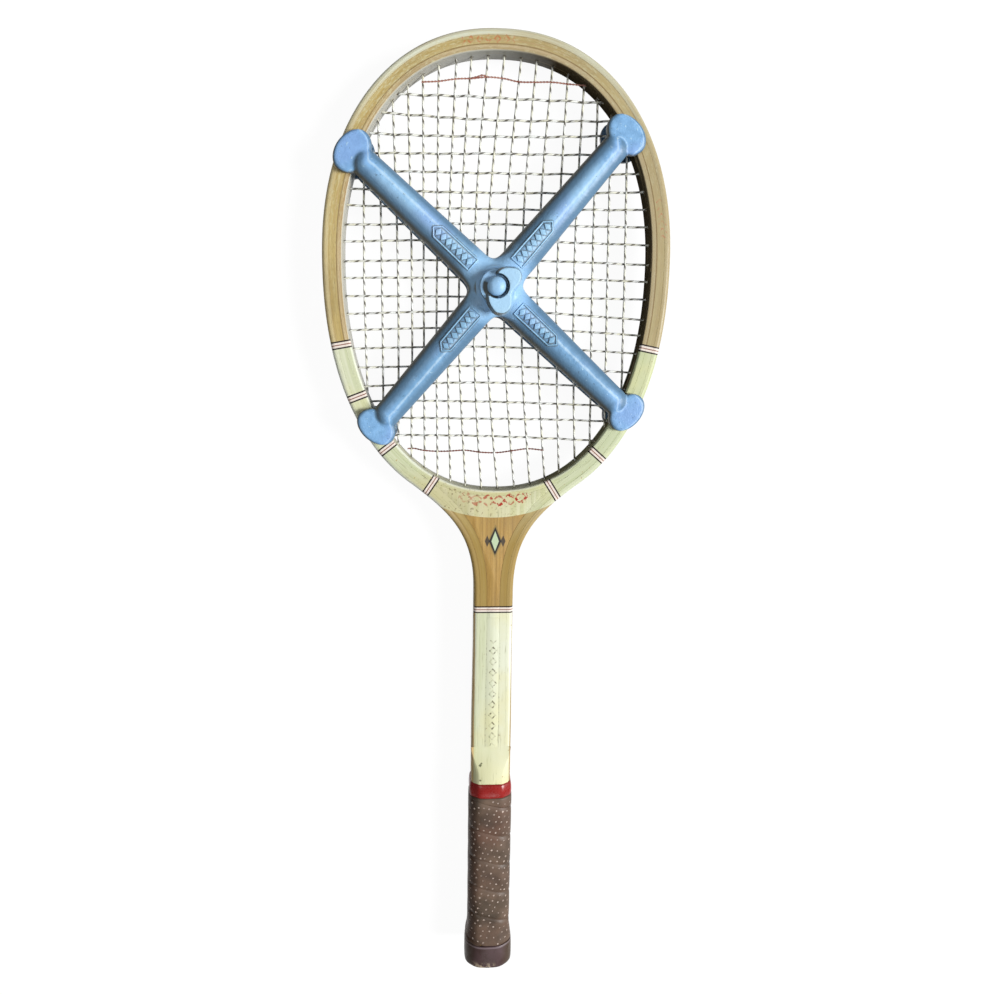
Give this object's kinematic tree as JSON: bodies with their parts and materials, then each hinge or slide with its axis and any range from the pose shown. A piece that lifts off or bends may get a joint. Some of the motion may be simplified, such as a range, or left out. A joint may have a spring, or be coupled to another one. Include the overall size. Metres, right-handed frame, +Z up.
{
  "type": "wooden tennis racket in a press",
  "caption": "Laminated wooden tennis racket with gut strings and a leather grip, its head held flat between two metal crosses drawn together by a wing screw.",
  "frame": {"origin": "on the surface that the racket lies on, below the middle of its length and its width", "axes": "+Y along the racket towards the tip of the head, +Z up, out of the strings' face, +X to the right seen from above"},
  "size_m": [0.2288, 0.676, 0.0524],
  "materials": {
    "outer_ash": "clear varnish over golden ash, cream paint on the throat half, crazed and specked",
    "middle_ply": "thin dark ply under clear varnish",
    "inner_ash": "clear varnish, grey with age on the inside",
    "throat_wood": "orange-brown stained beech under varnish, cream paint at the hoop",
    "core_wood": "beech painted cream",
    "handle_wood": "plain planed wood, cream where it shows",
    "collar_red": "glossy red tape",
    "grip_leather": "dark brown perforated leather strip, worn",
    "butt_leather": "purple-brown leather, rubbed at the edge",
    "tack_steel": "dull domed steel",
    "string_gut": "twisted cream gut with dark spiral flecks, varnished",
    "binding_thread": "red-brown thread",
    "press_paint": "light blue stove enamel on cast metal, chipped",
    "bush_steel": "plain turned steel",
    "washer_paint": "light blue enamel",
    "screw_paint": "pale blue enamel on the dome, bare threaded steel below",
    "wing_paint": "pale blue enamel, chipped at the edges"
  },
  "bodies": {
    "racket": {"hoop_outer_ply": "outer_ash", "hoop_middle_ply": "middle_ply", "hoop_inner_ply": "inner_ash", "throat_wedge": "throat_wood", "shaft_core": "core_wood", "handle_front_cheek": "handle_wood", "handle_back_cheek": "handle_wood", "butt_left_flare": "handle_wood", "butt_right_flare": "handle_wood", "grip_collar": "collar_red", "leather_grip": "grip_leather", "butt_band": "butt_leather", "butt_tack": "tack_steel", "main_string": "string_gut", "cross_string": "string_gut", "tip_binding_thread": "binding_thread", "foot_binding_thread": "binding_thread"},
    "rear_press": {"rear_cross": "press_paint", "rear_thread_bush": "bush_steel"},
    "front_press": {"front_cross": "press_paint", "screw_washer": "washer_paint"},
    "wing_screw": {"press_screw": "screw_paint", "wing_handle": "wing_paint"}
  },
  "joints": [
    {"name": "front_press_slide", "type": "slide", "parent": "racket", "child": "front_press", "axis": [0, 0, 1], "range_m": [0, 0.00423]},
    {"name": "rear_press_slide", "type": "slide", "parent": "racket", "child": "rear_press", "axis": [0, 0, -1], "range_m": [0, 0.00423]},
    {"name": "wing_screw_turn", "type": "hinge", "parent": "front_press", "child": "wing_screw", "pos_m": [-0.002, 0.1827, 0.045], "axis": [0, 0, 1], "range_deg": [0, 2160]}
  ],
  "couplings": [
    {"joint": "rear_press_slide", "follows": "front_press_slide", "ratio": 1},
    {"joint": "wing_screw_turn", "follows": "front_press_slide", "rad_per_m": 8905.3}
  ]
}
